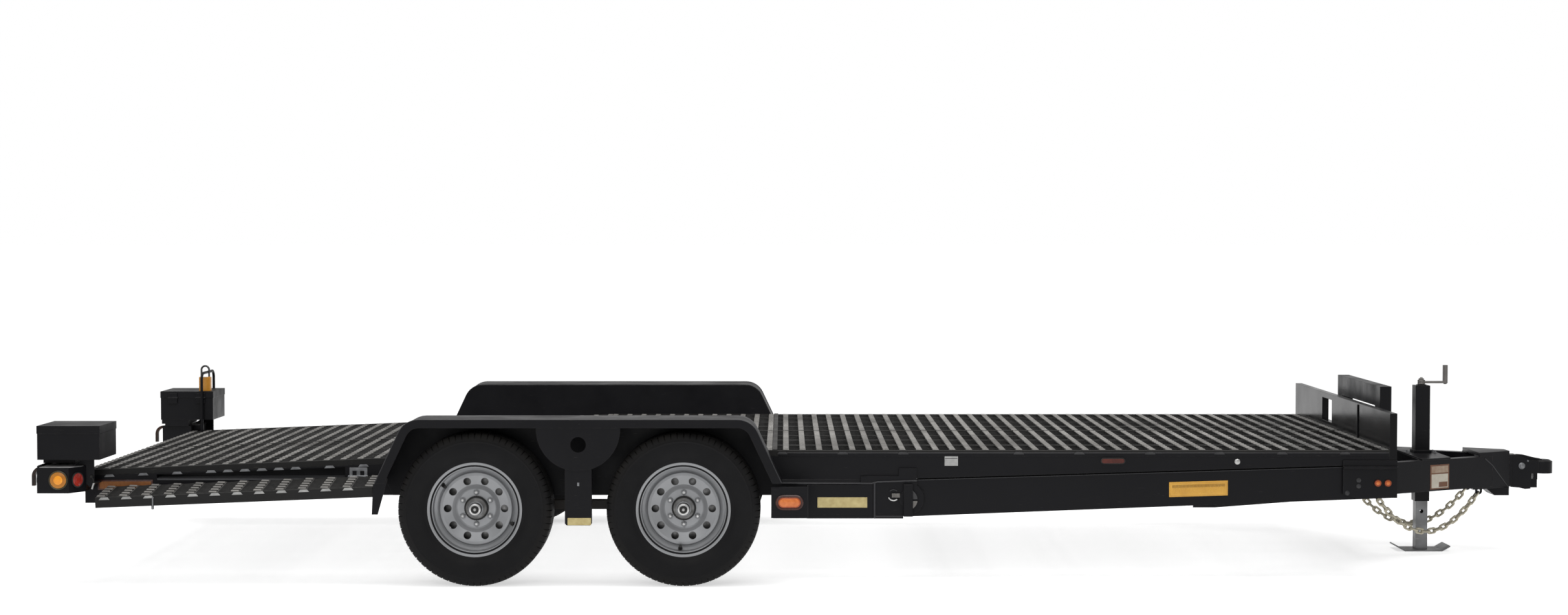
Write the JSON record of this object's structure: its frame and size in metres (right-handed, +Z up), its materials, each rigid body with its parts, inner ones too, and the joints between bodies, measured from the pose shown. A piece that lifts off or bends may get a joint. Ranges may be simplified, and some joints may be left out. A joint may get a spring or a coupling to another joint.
{
  "type": "car trailer",
  "caption": "Tandem-axle tilt-deck car trailer with a ribbed steel deck, fenders, side wings, corner boxes, drawbar frame, ball coupler, jack and safety chains.",
  "frame": {"origin": "on the level ground under the middle of the trailer's overall length and width", "axes": "+X towards the hitch, +Y to the far side in the picture (the trailer's left), +Z up"},
  "size_m": [7.076, 2.59, 0.9],
  "materials": {
    "frame_paint": "semi-gloss black paint, chalky at edges",
    "stop_paint": "gloss black paint",
    "deck_steel": "black paint worn to bright steel on the teeth",
    "tyre_rubber": "matt",
    "rim_paint": "silver paint",
    "hub_steel": "worn steel",
    "zinc": "zinc plated, dulled",
    "chain_steel": "yellow zinc, dulled",
    "spring_steel": "black paint",
    "amber_lens": "amber lens",
    "red_lens": "red lens",
    "lock_brass": "brass"
  },
  "bodies": {
    "chassis": {"main_rail_near": "frame_paint", "main_rail_far": "frame_paint", "deck_rail_near": "frame_paint", "deck_rail_far": "frame_paint", "cross_members": "frame_paint", "rear_beam": "frame_paint", "front_stop": "stop_paint", "deck_front_near": "deck_steel", "deck_front_far": "deck_steel", "deck_tail_near": "deck_steel", "deck_tail_far": "deck_steel", "side_wing_near": "deck_steel", "side_wing_far": "deck_steel", "fender_near": "frame_paint", "fender_far": "frame_paint", "fender_backs": "frame_paint", "fender_braces": "frame_paint", "side_lamp_brackets": "frame_paint", "latch_plates": "frame_paint", "pivot_brackets": "frame_paint", "leaf_springs": "spring_steel", "spring_hangers": "frame_paint", "axles": "frame_paint", "lamp_boxes": "frame_paint", "corner_boxes": "frame_paint", "rear_hooks": "frame_paint", "lock_hoop": "frame_paint", "padlock": "lock_brass", "amber_lamps": "amber_lens", "red_lamps": "red_lens"},
    "tongue": {"tongue_rail_near": "frame_paint", "tongue_rail_far": "frame_paint", "tongue_cross_members": "frame_paint", "drawbar_arm_near": "frame_paint", "drawbar_arm_far": "frame_paint", "drawbar_head": "frame_paint", "coupler": "frame_paint", "front_guard": "frame_paint", "jack_mount": "frame_paint", "jack_tube": "frame_paint", "chain_near": "chain_steel", "chain_far": "chain_steel"},
    "jack_leg": {"jack_leg": "zinc", "jack_foot": "frame_paint"},
    "jack_crank": {"jack_crank": "frame_paint"},
    "wheel_front_near": {"tyre_front_near": "tyre_rubber", "rim_front_near": "rim_paint", "hub_front_near": "hub_steel"},
    "wheel_front_far": {"tyre_front_far": "tyre_rubber", "rim_front_far": "rim_paint", "hub_front_far": "hub_steel"},
    "wheel_rear_near": {"tyre_rear_near": "tyre_rubber", "rim_rear_near": "rim_paint", "hub_rear_near": "hub_steel"},
    "wheel_rear_far": {"tyre_rear_far": "tyre_rubber", "rim_rear_far": "rim_paint", "hub_rear_far": "hub_steel"}
  },
  "joints": [
    {"name": "deck_tilt", "type": "hinge", "parent": "chassis", "child": "tongue", "pos_m": [0.348, 0, 0.365], "axis": [0, 1, 0], "range_deg": [0, 11]},
    {"name": "jack_slide", "type": "slide", "parent": "tongue", "child": "jack_leg", "axis": [0, 0, 1], "range_m": [0, 0.17]},
    {"name": "jack_crank_turn", "type": "hinge", "parent": "tongue", "child": "jack_crank", "pos_m": [2.898, 0, 0.802], "axis": [0, 0, 1], "continuous": true},
    {"name": "wheel_front_near_spin", "type": "hinge", "parent": "chassis", "child": "wheel_front_near", "pos_m": [-0.645, -1.1675, 0.338], "axis": [0, 1, 0], "continuous": true},
    {"name": "wheel_front_far_spin", "type": "hinge", "parent": "chassis", "child": "wheel_front_far", "pos_m": [-0.645, 1.1675, 0.338], "axis": [0, 1, 0], "continuous": true},
    {"name": "wheel_rear_near_spin", "type": "hinge", "parent": "chassis", "child": "wheel_rear_near", "pos_m": [-1.559, -1.1675, 0.338], "axis": [0, 1, 0], "continuous": true},
    {"name": "wheel_rear_far_spin", "type": "hinge", "parent": "chassis", "child": "wheel_rear_far", "pos_m": [-1.559, 1.1675, 0.338], "axis": [0, 1, 0], "continuous": true}
  ]
}
